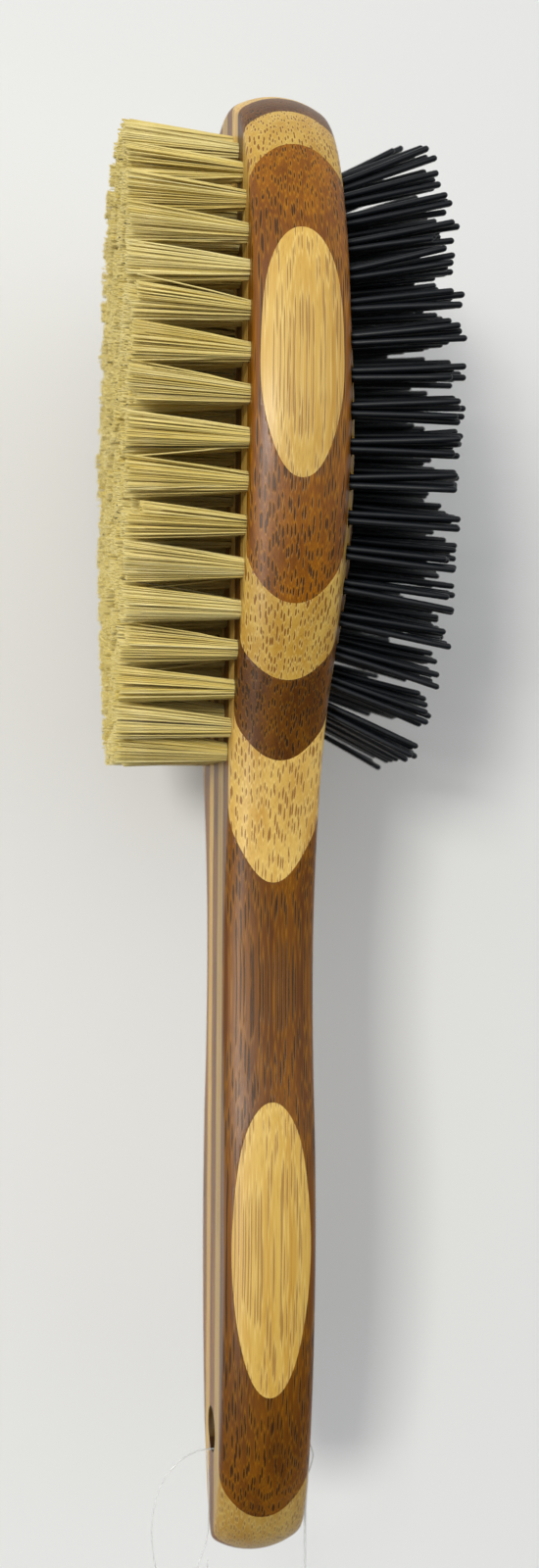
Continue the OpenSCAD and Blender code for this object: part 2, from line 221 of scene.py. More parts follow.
def body_mesh():
    """The undrilled body: a closed ring of points at each station along the outline."""
    stations = np.linspace(.03, SPANS - .03, SPANS * 14 + 1)
    side_steps, crown_steps = ((26, 20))
    corner = .95                        # reach of the rounded corners
    corner_share = corner / thick(at(stations)[:, 1]).mean()
    flat_edge, crown_edge = side(stations, 0.0), side(stations, 1.0)
    normal = outward(stations)

    def inset(edge):
        reach = corner * .8
        half = np.maximum(.02, edge[:, 1] - reach * normal[:, 0])
        return np.stack([edge[:, 0], half, edge[:, 2] - reach * normal[:, 1]], -1)

    def on_crown(points):
        z = points[:, 2]
        width = np.interp(z, crown_edge[:, 2], crown_edge[:, 1])
        dome = 1 - np.minimum(1, points[:, 1] / np.maximum(width, .05)) ** 2
        moved = points.copy()
        moved[:, 0] = rim_x(z) + crown(z) * dome * ease(.2, 6, width)
        return moved

    def rounded(start, middle, end):
        return [(1 - t) ** 2 * start + 2 * t * (1 - t) * middle + t ** 2 * end
                for t in np.linspace(0, 1, 6)]

    flat_rim = inset(flat_edge)
    flat_inner = flat_rim.copy()
    flat_inner[:, 1] = np.maximum(.01, flat_rim[:, 1] - .25)
    crown_rim = on_crown(inset(crown_edge))
    rows = [flat_inner]
    rows += rounded(flat_rim, flat_edge, side(stations, corner_share))
    rises = np.linspace(corner_share, 1 - corner_share, side_steps)[1:-1]
    rows += [side(stations, rise) for rise in rises]
    rows += rounded(side(stations, 1 - corner_share), crown_edge, crown_rim)
    for fraction in np.linspace(1, 0, crown_steps)[1:]:
        points = crown_rim.copy()
        points[:, 1] = crown_rim[:, 1] * fraction
        rows.append(on_crown(points))

    near = np.stack([row * [1, -1, 1] for row in rows], 1)        # stations, points, xyz
    far = near[:, ::-1][:, 1:] * [1, -1, 1]
    rings = np.concatenate([near, far], 1)
    count, around = rings.shape[:2]
    i, k = np.meshgrid(np.arange(count - 1), np.arange(around), indexing="ij")
    here = i * around + k
    beside = i * around + (k + 1) % around
    quads = np.stack([here, beside, beside + around, here + around], -1)
    faces = quads.reshape(-1, 4).tolist()

    half = len(rows)
    for first, flip in ((0, True), ((count - 1) * around, False)):
        cap = [[first + k, first + k + 1, first + 2 * half - 3 - k, first + 2 * half - 2 - k]
               for k in range(half - 2)]
        cap.append([first + half - 2, first + half - 1, first + half])
        faces += [face[::-1] for face in cap] if flip else cap

    verts = rings.reshape(-1, 3)
    volume = 0.0
    for face in faces:
        points = verts[face]
        for j in range(1, len(face) - 1):
            volume += np.dot(points[0], np.cross(points[j], points[j + 1]))
    if volume < 0:                      # turn the faces outwards
        faces = [face[::-1] for face in faces]
    return face_mesh("body", verts, faces)


# ---------------------------------------------------------------------------------------------
# Where the tufts stand: rings of (y, z) points around a middle row
# ---------------------------------------------------------------------------------------------
FIELD_LO, FIELD_HI = level(.545), level(.972)
FIELD_MID = (FIELD_LO + FIELD_HI) / 2
FIELD_INSET = BULGE + 2.9
PIN_MID, PIN_SQUEEZE = FIELD_MID - .5, .85     # the pin field is shorter than the bristle field
BRISTLE_SHORTEN = .97
BRISTLE_PITCH, BRISTLE_RING_STEP = 6.15, 6.3
PIN_PITCH, PIN_RING_STEP = 5.1, 6.6
BRISTLE_HOLE_D, BRISTLE_HOLE_DEPTH, BRISTLE_LEN = 3.0, 6.0, 17.5
PIN_HOLE_D, PIN_HOLE_DEPTH, PIN_LEN, STRAND_D = 2.9, 5.0, 16.0, .95


def field_edge():
    """The head's outline, inset and closed by its mirror image."""
    half = []
    for u in np.arange(11.5, SPANS - .25 + 1e-9, .25):
        point = at(u) - FIELD_INSET * outward(u)
        if point[1] > FIELD_LO and point[0] > 0:
            half.append(point)
    half = np.array(half)
    return np.vstack([half, (half * [-1, 1])[::-1]])


EDGE = field_edge()


def ring(step, number):
    """The field's edge shrunk by a number of steps."""
    y, z = EDGE[:, 0], EDGE[:, 1]
    half_w = y.max()
    half_h = (z.max() - z.min()) / 2
    middle = (z.max() + z.min()) / 2
    return np.stack([y * max(.02, half_w - step * number) / half_w,
                     middle + (z - middle) * (half_h - step * number) / half_h], -1)


def spaced(points, pitch):
    """Evenly spaced points around a closed line."""
    closed = np.vstack([points, points[:1]])
    steps = np.linalg.norm(np.diff(closed, axis=0), axis=1)
    run = np.concatenate([[0], np.cumsum(steps)])
    count = int(math.floor(run[-1] / pitch + .5))
    stops = (np.arange(count) + .5) * run[-1] / count
    return np.stack([np.interp(stops, run, closed[:, 0]), np.interp(stops, run, closed[:, 1])], -1)


def middle_row(count, pitch):
    return np.array([[0, FIELD_MID + (i - (count - 1) / 2) * pitch] for i in range(count)])


def shortened(points):
    z = FIELD_LO + (points[:, 1] - FIELD_LO) * BRISTLE_SHORTEN
    return np.stack([points[:, 0], z], -1)


def squeezed(points):
    z = PIN_MID + (points[:, 1] - FIELD_MID) * PIN_SQUEEZE
    return np.stack([points[:, 0], z], -1)


BRISTLES = {f"bristle_ring_{r + 1}": spaced(shortened(ring(BRISTLE_RING_STEP, r)), BRISTLE_PITCH)
            for r in range(4)}
BRISTLES["bristle_row_5"] = middle_row(8, BRISTLE_PITCH)
PINS = {f"pin_ring_{r + 1}": spaced(squeezed(ring(PIN_RING_STEP, r)), PIN_PITCH)
        for r in range(4)}
PINS["pin_row_5"] = middle_row(7, PIN_PITCH)


def pin_frame(y, z):
    """Foot on the crown, direction, and two directions across, of a pin tuft."""
    height = (z - PIN_MID) / ((FIELD_HI - FIELD_MID) * PIN_SQUEEZE)
    yaw = math.radians(17 * y / (HEAD_W / 2))
    pitch = math.radians(13 * height + 14 * height ** 5)
    along = np.array([math.cos(pitch) * math.cos(yaw), math.cos(pitch) * math.sin(yaw),
                      math.sin(pitch)])
    across = np.array([-math.sin(yaw), math.cos(yaw), 0])
    return np.array([float(pin_top(y, z)), y, z]), along, across, np.cross(along, across)


# ---------------------------------------------------------------------------------------------
# Materials
# ---------------------------------------------------------------------------------------------
def rgb(*levels):
    """Linear colour from 0-255 sRGB."""
    def linear(c):
        return (c / 255 / 12.92) if c / 255 <= .04045 else ((c / 255 + .055) / 1.055) ** 2.4
    return (*map(linear, levels), 1.0)


class Graph:
    """Short ways to add nodes to a shader tree."""

    def __init__(self, tree):
        self.tree = tree

    def node(self, kind, **settings):
        node = self.tree.nodes.new(kind)
        for key, value in settings.items():
            setattr(node, key, value)
        return node

    def put(self, sock, value):
        if isinstance(value, bpy.types.NodeSocket):
            self.tree.links.new(value, sock)
        else:
            sock.default_value = value

    def ramp(self, value, start, end, lo=0.0, hi=1.0):
        node = self.node("ShaderNodeMapRange", interpolation_type="SMOOTHSTEP")
        for key, source in (("Value", value), ("From Min", start), ("From Max", end),
                            ("To Min", lo), ("To Max", hi)):
            self.put(node.inputs[key], source)
        return node.outputs[0]

    def math(self, operation, *values):
        node = self.node("ShaderNodeMath", operation=operation)
        for sock, value in zip(node.inputs, values):
            self.put(sock, value)
        return node.outputs[0]


class Material(Graph):
    def __init__(self, name):
        self.mat = bpy.data.materials.new(name)
        self.mat.use_nodes = True
        super().__init__(self.mat.node_tree)
        self.tree.nodes.clear()
        self.out = self.node("ShaderNodeOutputMaterial")
        self.shader = self.node("ShaderNodeBsdfPrincipled")
        self.put(self.out.inputs[0], self.shader.outputs[0])

    def coords(self, scale, offset=(0, 0, 0)):
        """Object coordinates in millimetres, offset, then scaled."""
        source = self.node("ShaderNodeTexCoord")
        mapping = self.node("ShaderNodeMapping")
        mapping.inputs["Location"].default_value = [o * s for o, s in zip(offset, scale)]
        mapping.inputs["Scale"].default_value = [1000 * s for s in scale]
        self.put(mapping.inputs["Vector"], source.outputs["Object"])
        return mapping.outputs[0]

    def noise(self, vector, detail=2.0, rough=.5):
        node = self.node("ShaderNodeTexNoise")
        self.put(node.inputs["Vector"], vector)
        node.inputs["Scale"].default_value = 1.0
        node.inputs["Detail"].default_value = detail
        node.inputs["Roughness"].default_value = rough
        return node.outputs[0]

    def scaled(self, value, by, plus):
        return self.math("MULTIPLY_ADD", value, by, plus)

    def mix(self, factor, first, second, blend="MIX"):
        node = self.node("ShaderNodeMix", data_type="RGBA", blend_type=blend)
        self.put(node.inputs["Factor"], factor)
        self.put(node.inputs[6], first)
        self.put(node.inputs[7], second)
        return node.outputs[2]

    def bump(self, height, strength, depth, normal=None):
        node = self.node("ShaderNodeBump")
        node.inputs["Strength"].default_value = strength
        node.inputs["Distance"].default_value = depth * MM
        self.put(node.inputs["Height"], height)
        if normal is not None:
            self.put(node.inputs["Normal"], normal)
        return node.outputs[0]

    def set(self, **values):
        for key, value in values.items():
            self.put(self.shader.inputs[key.replace("_", " ")], value)
        return self.mat


# Colours, then the strength of the halo, fine and core marks, and the saturation
DARK = dict(base=rgb(148, 93, 35), deep=rgb(108, 61, 17), glow=rgb(196, 140, 64),
            pore=rgb(46, 21, 4), halo=.44, fine=.46, core=.90, saturation=1.12)
LIGHT = dict(base=rgb(223, 186, 99), deep=rgb(200, 153, 68), glow=rgb(242, 214, 134),
             pore=rgb(138, 84, 24), halo=.56, fine=.30, core=.66, saturation=1.02)


def bamboo(name, dark, seed, tone, bore, fleck):
    """Lacquered bamboo: fibre bundles run along Z, so a cut along them shows lines and a
    slanting cut shows flecks."""
    rng = np.random.default_rng(seed)
    offset = tuple(rng.uniform(-400, 400, 3))
    look = DARK if dark else LIGHT
    m = Material(name)

    def noise(scale, **settings):
        return m.noise(m.coords(scale, offset), **settings)

    # the fibres wander a little along their length
    wander = noise((.06, .06, .035)).node.outputs["Color"]

    def warped(scale, amount):
        node = m.node("ShaderNodeVectorMath", operation="MULTIPLY_ADD")
        m.put(node.inputs[0], wander)
        node.inputs[1].default_value = (amount, amount, 0)
        m.put(node.inputs[2], m.coords(scale, offset))
        return node.outputs[0]

    def bundles(scale, amount):
        """Distance from the nearest bundle's middle."""
        node = m.node("ShaderNodeTexVoronoi", voronoi_dimensions="2D", feature="F1")
        m.put(node.inputs["Vector"], warped(scale, amount))
        node.inputs["Scale"].default_value = 1.0
        node.inputs["Randomness"].default_value = .85
        return node.outputs["Distance"]

    density = noise((.22, .22, .02))
    coarse = bundles(scale=(2.05, 1.15, 0), amount=1.8)
    # a bundle fades in and out along its length
    live = m.ramp(noise((1.6, 1.6, .10)), start=.26, end=.46)
    wide = m.ramp(density, start=.35, end=.65, lo=.13, hi=.23)
    wide_end = m.math("ADD", wide, .13)
    core = m.math("MULTIPLY", m.ramp(coarse, start=wide, end=wide_end, lo=1, hi=0), live)
    halo = m.ramp(coarse, start=.26, end=.50, lo=1, hi=0)
    small = m.ramp(bundles(scale=(4.3, 2.8, 0), amount=3.8), start=.10, end=.30, lo=1, hi=0)
    small_live = m.ramp(noise((2.1, 2.1, .16)), start=.40, end=.60)
    fine = m.math("MULTIPLY", small, small_live)
    band = noise((.35, .35, .006), detail=3, rough=.55)
    fibre = m.noise(warped((6.5, 6.5, .10), amount=6.0), detail=4, rough=.62)
    blotch = noise((.05, .05, .03))

    fibre_mark = m.ramp(fibre, start=.35, end=.68)
    colour = m.mix(m.ramp(band, start=.3, end=.7), look["base"], look["deep"])
    for mark, strength, tint in ((halo, look["halo"], "glow"), (fibre_mark, .34, "deep"),
                                 (fine, look["fine"] * fleck, "pore"),
                                 (core, look["core"] * fleck, "pore")):
        colour = m.mix(m.math("MULTIPLY", mark, strength), colour, look[tint])
    if bore:                            # painted shade: the inside of the hanging hole's bore is darkened, as light does not reach into it
        axes = m.node("ShaderNodeSeparateXYZ")
        m.put(axes.inputs[0], m.coords((1, 1, 1)))
        squares = [m.math("POWER", axes.outputs[i], 2.0) for i in (1, 2)]
        radius = m.math("SQRT", m.math("ADD", *squares), 0.0)
        # painted shade, dark brown, on the wall of the hanging hole's bore
        bore_shade = m.ramp(radius, start=HANG_R + .02, end=HANG_R + .12, lo=.88, hi=0)
        colour = m.mix(bore_shade, colour, rgb(44, 24, 10))
    hsv = m.node("ShaderNodeHueSaturation")
    m.put(hsv.inputs["Color"], colour)
    hsv.inputs["Saturation"].default_value = look["saturation"] + rng.uniform(-.03, .03)
    # tone sets the board's overall brightness: its own tone, plus painted shade on boards whose
    # faces turn downwards
    m.put(hsv.inputs["Value"], m.ramp(blotch, start=.3, end=.7, lo=.94 + tone, hi=1.05 + tone))

    rough = m.scaled(fibre, by=.20, plus=.32)
    raised, sunk = m.math("MULTIPLY", fibre, .6), m.math("MULTIPLY", core, .8)
    height = m.math("SUBTRACT", raised, sunk)
    lacquer = noise((1.6, 1.6, .5), detail=3)
    normal = m.bump(height, strength=.75, depth=.06)
    normal = m.bump(lacquer, strength=.16, depth=.05, normal=normal)
    return m.set(Base_Color=hsv.outputs[0], Roughness=rough, Normal=normal,
                 Specular_IOR_Level=.26, Coat_Weight=.10, Coat_Roughness=.20)


def bristle_material():
    m = Material("natural_bristle")
    hair = m.node("ShaderNodeAttribute", attribute_name="hair").outputs["Color"]
    streak = m.noise(m.coords((.25, 3.0, 3.0)), detail=3)
    patch = m.noise(m.coords((.12, .12, .12)))
    colour = m.mix(m.ramp(streak, start=.3, end=.7, hi=.25), hair, rgb(240, 230, 176), "MULTIPLY")
    colour = m.mix(m.ramp(patch, start=.35, end=.65, hi=.14), colour, rgb(214, 196, 108))
    return m.set(Base_Color=colour, Roughness=m.scaled(streak, by=.25, plus=.34),
                 Normal=m.bump(streak, strength=.3, depth=.03), Specular_IOR_Level=.45)


def nylon_material():
    m = Material("black_nylon")
    patch = m.noise(m.coords((.5, .5, .5)))
    streak = m.noise(m.coords((.8, 9.0, 9.0)), detail=3)
    return m.set(Base_Color=m.mix(patch, rgb(9, 12, 17), rgb(17, 22, 27)),
                 Roughness=m.scaled(streak, by=.22, plus=.22),
                 Normal=m.bump(streak, strength=.2, depth=.02),
                 Specular_IOR_Level=.27, Coat_Weight=.06, Coat_Roughness=.15)


def steel_material():
    m = Material("anchor_wire")
    grain = m.noise(m.coords((2, 14, 2)), detail=3)
    return m.set(Base_Color=m.mix(grain, rgb(168, 170, 172), rgb(205, 206, 208)), Metallic=1.0,
                 Roughness=m.scaled(grain, by=.3, plus=.25),
                 Normal=m.bump(grain, strength=.3, depth=.02))


def thread_material():
    m = Material("clear_thread")
    grain = m.noise(m.coords((1.5, 1.5, 1.5)))
    return m.set(Base_Color=m.mix(grain, rgb(226, 228, 228), rgb(246, 247, 247)),
                 Roughness=m.scaled(grain, by=.1, plus=.12),
                 Normal=m.bump(grain, strength=.15, depth=.02),
                 Transmission_Weight=.55, IOR=1.5)


# ---------------------------------------------------------------------------------------------
# The body: one high-resolution blank, drilled, then parted into its boards
# ---------------------------------------------------------------------------------------------
def cylinders(feet, radius, lo, hi, sides=24):
    """Closed cylinders from (foot, direction) pairs, for cutting holes."""
    verts, faces = [], []
    for foot, along in feet:
        across = unit(np.cross(along, [0, 0, 1.0]))
        rim = radius * circle(sides, across, np.cross(along, across))
        faces += tube_faces(2, sides, first=len(verts) * 2 * sides)
        verts.append(np.vstack([foot + along * lo + rim, foot + along * hi + rim]))
    return face_mesh("cut", np.vstack(verts), faces)


def slab(y0, y1, z0, z1):
    """A box wider than the body in X."""
    verts = [[x, y, z] for x in (-30, 40) for y in (y0, y1) for z in (z0, z1)]
    faces = [[0, 1, 3, 2], [4, 6, 7, 5], [0, 4, 5, 1], [2, 3, 7, 6], [0, 2, 6, 4], [1, 5, 7, 3]]
    return face_mesh("slab", verts, faces, smooth=False)


def drilled_blank():
    blank = add("blank", body_mesh())
    bristle_feet = [(np.array([FLAT_X, y, z]), np.array([-1.0, 0, 0]))
                    for points in BRISTLES.values() for y, z in points]
    pin_feet = [pin_frame(y, z)[:2] for points in PINS.values() for y, z in points]
    hang_foot = [(np.zeros(3), np.array([1.0, 0, 0]))]
    for name, cutter in (
            ("cut_b", cylinders(bristle_feet, BRISTLE_HOLE_D / 2, lo=-BRISTLE_HOLE_DEPTH, hi=1)),
            ("cut_p", cylinders(pin_feet, PIN_HOLE_D / 2, lo=-PIN_HOLE_DEPTH, hi=3)),
            ("cut_h", cylinders(hang_foot, HANG_R, lo=-20, hi=20, sides=64))):
        blank.data = boolean(blank, name, cutter, "DIFFERENCE")
    return blank


BOARD_W = 4.7
CORE_HALF = BOARD_W / 2
# Edges between the boards, outwards from the core; the last is beyond the body
NEAR_EDGES = [CORE_HALF + i * BOARD_W for i in range(7)] + [40]
FAR_EDGES = [CORE_HALF, CORE_HALF + 3.8] + NEAR_EDGES[2:]
BELOW, ABOVE = -60.0, 260.0             # beyond the body's ends
# Boards of one side: label, index of the inner edge, bottom, top, dark
SIDE_BOARDS = [
    ("light_1", 0, BELOW, ABOVE, False), ("dark_1", 1, BELOW, ABOVE, True),
    ("light_2_head", 2, NECK_Z, ABOVE, False), ("light_2_grip", 2, BELOW, NECK_Z, False),
    ("dark_2", 3, BELOW, ABOVE, True), ("light_3", 4, BELOW, ABOVE, False),
    ("dark_3", 5, BELOW, ABOVE, True), ("light_4", 6, BELOW, ABOVE, False)]
# Brightness added to a board, partly its own tone and partly painted shade on the boards whose
# faces turn downwards (near_dark_2, near_light_1, near_light_3), and strength of its flecks
BOARD_TONE_AND_SHADE = {"near_dark_1": -.26, "near_dark_2": -.42, "near_dark_3": .08, "near_light_2_head": .07,
        "near_light_3": -.12, "near_light_1": -.30, "core_board": .02}
FLECK = {"near_light_2_head": 1.3, "near_light_3": 1.4,
         "far_light_2_head": 1.3, "far_light_3": 1.4}
BORED = ("core_board", "core_board_butt", "near_light_1", "far_light_1")


def board_list():
    """Name, Y range, Z range and darkness of every board."""
    boards = [("core_board", -CORE_HALF, CORE_HALF, 0, ABOVE, True),
              ("core_board_butt", -CORE_HALF, CORE_HALF, BELOW, 0, True)]
    for prefix, edges in (("near", NEAR_EDGES), ("far", FAR_EDGES)):
        for label, i, z0, z1, dark in SIDE_BOARDS:
            y0, y1 = edges[i], edges[i + 1]
            if prefix == "near":
                y0, y1 = -y1, -y0
            boards.append((f"{prefix}_{label}", y0, y1, z0, z1, dark))
    return boards


def build_boards():
    blank = drilled_blank()
    for i, (node, y0, y1, z0, z1, dark) in enumerate(board_list()):
        me = boolean(blank, "slab", slab(y0, y1, z0, z1), "INTERSECT")
        me.name = "v_" + node
        me.polygons.foreach_set("use_smooth", np.ones(len(me.polygons), bool))
        me.set_sharp_from_angle(angle=math.radians(38))
        wood = bamboo("bamboo_" + node, dark, seed=100 + i, tone=BOARD_TONE_AND_SHADE.get(node, 0.0),
                      bore=node in BORED, fleck=FLECK.get(node, 1.0))
        stand_in(node, me, wood)
    bpy.data.objects.remove(blank)


build_boards()


# ---------------------------------------------------------------------------------------------
# Hair and pins: bundles of thin closed tubes
# ---------------------------------------------------------------------------------------------
def tubes(name, centres, radii, sides, turn=0.0, colour=None):
    """Closed tubes from ring centres (tube, ring, xyz) and radii (tube, ring)."""
    count, rings = centres.shape[:2]
    along = unit(centres[:, -1] - centres[:, 0], axis=1)
    across = unit(np.cross(along, [0, 0, 1.0]), axis=1)
    over = np.cross(along, across)
    angle = (angles(sides) + np.reshape(turn, (-1, 1)))[:, :, None]
    rim = np.cos(angle) * across[:, None] + np.sin(angle) * over[:, None]
    verts = centres[:, :, None] + radii[:, :, None, None] * rim[:, None]

    first = (np.arange(count) * rings * sides)[:, None]
    i, k = np.meshgrid(np.arange(rings - 1), np.arange(sides), indexing="ij")
    here, beside = i * sides + k, i * sides + (k + 1) % sides
    quads = np.stack([here, here + sides, beside + sides, beside], -1).reshape(1, -1) + first
    start_cap = np.arange(sides) + first
    end_cap = (np.arange(sides) + (rings - 1) * sides)[::-1] + first
    loops = np.concatenate([quads.ravel(), start_cap.ravel(), end_cap.ravel()])
    sizes = np.concatenate([np.full(count * (rings - 1) * sides, 4), np.full(2 * count, sides)])
    me = new_mesh(name, verts, loops, sizes)

    # a strip of the bake map for each tube
    columns = math.ceil(math.sqrt(count * 8))
    lines = math.ceil(count / columns)
    number = np.arange(count)[:, None]
    left, bottom = (number % columns) / columns, (number // columns) / lines

    def strip(around, up):
        """UVs in every tube's strip, from fractions around and along the tube."""
        return np.stack([left + (.1 + .8 * around.ravel()) / columns,
                         bottom + (.04 + .92 * up.ravel()) / lines], -1).reshape(-1, 2)

    around = np.arange(sides) / sides
    uvs = np.concatenate([
        strip(np.stack([k, k, k + 1, k + 1], -1) / sides,
              np.stack([i, i + 1, i + 1, i], -1) / (rings - 1)),
        strip(around, np.zeros(sides)), strip(around[::-1], np.ones(sides))])
    if len(me.loops) == len(loops):     # validation may have dropped faces
        layer = me.uv_layers.new(name="OFBake")
        layer.data.foreach_set("uv", uvs.astype(np.float32).ravel())
    if colour is not None:
        attribute = me.color_attributes.new("hair", "FLOAT_COLOR", "POINT")
        values = np.ones((count, rings * sides, 4), np.float32)
        values[..., :3] = colour[:, None]
        attribute.data.foreach_set("color", values.ravel())
    return me


CLUMPS = 6                              # clumps in a tuft
STRAW_DARK, STRAW_PALE = np.array(rgb(224, 200, 106)[:3]), np.array(rgb(246, 232, 168)[:3])


def bristle_tuft(y, z, count, rng):
    """Centres, radii and colours of the hairs of one tuft."""
    stations = np.array([-5.2, 0, 6.0, 12.0, BRISTLE_LEN])      # out from the flat face
    radius = np.sqrt(rng.uniform(size=count)) * 1.38
    angle = rng.uniform(0, 2 * math.pi, count)
    foot = np.stack([radius * np.cos(angle), radius * np.sin(angle)], -1)   # y, z in the hole

    # the tuft opens out towards its trimmed end, a little off true
    height = (z - FIELD_MID) / (FIELD_HI - FIELD_MID)
    tilt = (rng.normal(scale=.012, size=2)
            + np.array([.012 * y / (HEAD_W / 2), -.055 * height ** 3]))
    spread = rng.uniform(.88, 1.12)
    drift = foot * (spread / BRISTLE_LEN) + tilt + rng.normal(scale=.0060, size=(count, 2))
    heads = rng.normal(scale=.8, size=(CLUMPS, 2))
    clump = np.argmin(np.linalg.norm(foot[:, None] - heads[None], axis=-1), axis=1)
    drift += rng.normal(scale=.011, size=(CLUMPS, 2))[clump]

    # a few hairs stray and curve more
    wild = rng.uniform(size=count) < .034
    drift[wild] += np.clip(rng.normal(scale=.055, size=(wild.sum(), 2)), -.09, .09)
    curve = rng.normal(scale=.16, size=(count, 2))
    curve[wild] *= 5

    # lengths differ by tuft, by hair and by clump
    trim = (BRISTLE_LEN + rng.normal(scale=.12) + rng.normal(scale=.08, size=count)
            - rng.uniform(0, .7, CLUMPS)[clump])
    way = rng.normal(size=2)            # a step in the trimmed end
    step = rng.choice([0, 0, .5, 1.1, 2.0])
    trim -= step * (foot @ way > .25 * np.linalg.norm(way))
    short = rng.uniform(size=count) < .05
    trim[short] -= rng.uniform(.4, 3.5, short.sum())

    depth = stations[None] * np.where(stations[None] > 0, (trim / BRISTLE_LEN)[:, None], 1)
    free = np.clip(depth, 0, None)      # length out of the hole
    gathered = foot[:, None] * (1 - .12 * (depth[..., None] < -1))
    place = gathered + drift[:, None] * (free ** .82)[..., None] * BRISTLE_LEN ** .18
    part = free / BRISTLE_LEN
    place = place + curve[:, None] * (part * part * (1 - .55 * part))[..., None]
    centres = np.stack([FLAT_X - depth, y + place[..., 0], z + place[..., 1]], -1)
    radii = rng.uniform(.100, .140, count)[:, None] * np.array([1, 1, 1, 1, .85])

    # tones differ by hair, by tuft and by clump, with a rare dark hair
    tone = (rng.normal(.50, .18, count) + rng.normal(scale=.07)
            + rng.normal(scale=.10, size=CLUMPS)[clump])
    colour = STRAW_DARK + (STRAW_PALE - STRAW_DARK) * np.clip(tone, 0, 1)[:, None]
    colour[rng.uniform(size=count) < .0035] = rgb(46, 34, 18)[:3]
    return centres, radii, colour


def build_bristles():
    straw = bristle_material()
    for i, (node, points) in enumerate(BRISTLES.items()):
        rng = np.random.default_rng(500 + i)
        tufts = [bristle_tuft(y, z, 185, rng) for y, z in points]
        centres, radii, colour = map(np.concatenate, zip(*tufts))
        turn = rng.uniform(0, 2, len(centres))
        me = tubes("v_" + node, centres, radii, sides=3, turn=turn, colour=colour)
        stand_in(node, me, straw)


build_bristles()


def pin_strands(points, rng):
    """Centres and radii of the pins, four to a tuft."""
    tip = np.radians([30, 55, 75, 86])  # rings of the rounded tip
    sunk = PIN_HOLE_DEPTH - .8          # depth of the foot in the hole
    splay = math.tan(math.radians(1.3))
    centres, radii = [], []
    for y, z in points:
        top, along, across, over = pin_frame(y, z)
        along = along + across * rng.normal(scale=.02) + over * rng.normal(scale=.02)
        for j in range(4):
            angle = math.pi / 4 + j * math.pi / 2
            out = np.cos(angle) * across + np.sin(angle) * over
            foot = top + out * .66 - along * sunk
            length = PIN_LEN + rng.normal(-.3, .55)
            if rng.uniform() < .10:     # a worn, shorter pin
                length -= rng.uniform(1.5, 4)
            way = unit(along + out * splay + across * rng.normal(scale=.012)
                       + over * rng.normal(scale=.012))
            bend = (across * rng.normal() + over * rng.normal()) * .16
            total = sunk + length
            radius = STRAND_D / 2 * rng.uniform(.96, 1.03)
            run = np.concatenate([np.linspace(0, total - radius, 7),
                                  total - radius + radius * np.sin(tip)])
            part = np.clip((run - PIN_HOLE_DEPTH) / length, 0, None)
            centres.append(foot + way * run[:, None] + bend * (part * part)[:, None])
            radii.append(np.concatenate([np.full(7, radius), radius * np.cos(tip)]))
    return np.array(centres), np.array(radii)


def build_pins():
    nylon = nylon_material()
    for i, (node, points) in enumerate(PINS.items()):
        centres, radii = pin_strands(points, np.random.default_rng(900 + i))
        me = tubes("v_" + node, centres, radii, sides=12)
        stand_in(node, me, nylon)


build_pins()

steel = steel_material()
for node in ("bristle_anchors", "pin_anchors"):
    set_material(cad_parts[node].data, steel)

# ---------------------------------------------------------------------------------------------
# The thread: a loop passed twice through the hole and knotted below the butt
# ---------------------------------------------------------------------------------------------
THREAD_R = .1
BEND_Z = -3.18          # the hinge's axis: the thread rests on the hole's lower wall
# Points (x, y, z) along each length of thread
THREAD = [
    # through the hole, out in an arc on the bristle side, down to the knot
    [(9.3, .2, -4.5), (8.8, .1, -3.6), (8.2, 0, BEND_Z), (7.75, 0, BEND_Z), (6.5, 0, BEND_Z),
     (0, 0, BEND_Z), (-6.3, 0, BEND_Z), (-7.1, 0, BEND_Z), (-8.0, 0, BEND_Z), (-9.4, 0, -3.4),
     (-11.2, 0, -4.1), (-13.2, -.1, -5.6), (-15.0, -.2, -8.0), (-16.0, -.3, -11.0),
     (-16.4, -.3, -15.5), (-15.4, -.2, -22), (-12.6, 0, -29), (-9.4, .1, -34.4),
     (-8.0, .1, -36.2)],
    # the same turn on the pin side, down to the knot
    [(9.3, .2, -4.5), (9.6, .3, -5.9), (9.2, .3, -7.6), (8.5, .2, -9.6), (8.2, .1, -14),
     (8.2, .1, -21), (8.2, .1, -28), (6.6, .1, -31.8), (1.0, .1, -34.8), (-5.6, .1, -36.2),
     (-8.0, .1, -36.2)],
    # second turn, lying along the flat face
    [(8.8, -.3, -5.5), (8.6, -.1, -3.9), (8.15, 0, BEND_Z), (7.75, 0, BEND_Z), (6.5, 0, BEND_Z),
     (0, 0, BEND_Z), (-6.3, 0, BEND_Z), (-7.0, 0, BEND_Z), (-7.5, 0, BEND_Z), (-7.7, -.1, -4.2),
     (-7.45, -.2, -8), (-7.4, -.2, -14), (-7.6, -.1, -17), (-8.6, 0, -20), (-9.8, 0, -24),
     (-10.2, 0, -29), (-9.4, 0, -33.5), (-8.2, 0, -36.0)],
    # second turn on the pin side
    [(8.8, -.3, -5.5), (8.6, -.3, -9), (8.3, -.3, -14), (8.3, -.3, -21), (8.1, -.3, -28),
     (6.2, -.2, -32.2), (0, -.1, -35.4), (-6.0, 0, -36.6), (-8.2, 0, -36.0)],
    # the knot
    [(-7.3, -.25, -36.6), (-7.7, -.3, -35.7), (-8.6, -.15, -35.8), (-8.9, .3, -36.6),
     (-8.1, .5, -37.1), (-7.5, .3, -36.4), (-7.9, -.2, -36.1), (-8.5, -.5, -36.9),
     (-7.8, -.4, -37.4), (-7.4, .1, -37.0)],
    # a tail that stands up from the knot
    [(-8.2, 0, -36.6), (-8.0, .1, -32), (-7.8, .1, -27), (-7.6, 0, -23), (-7.5, 0, -20.4)],
]


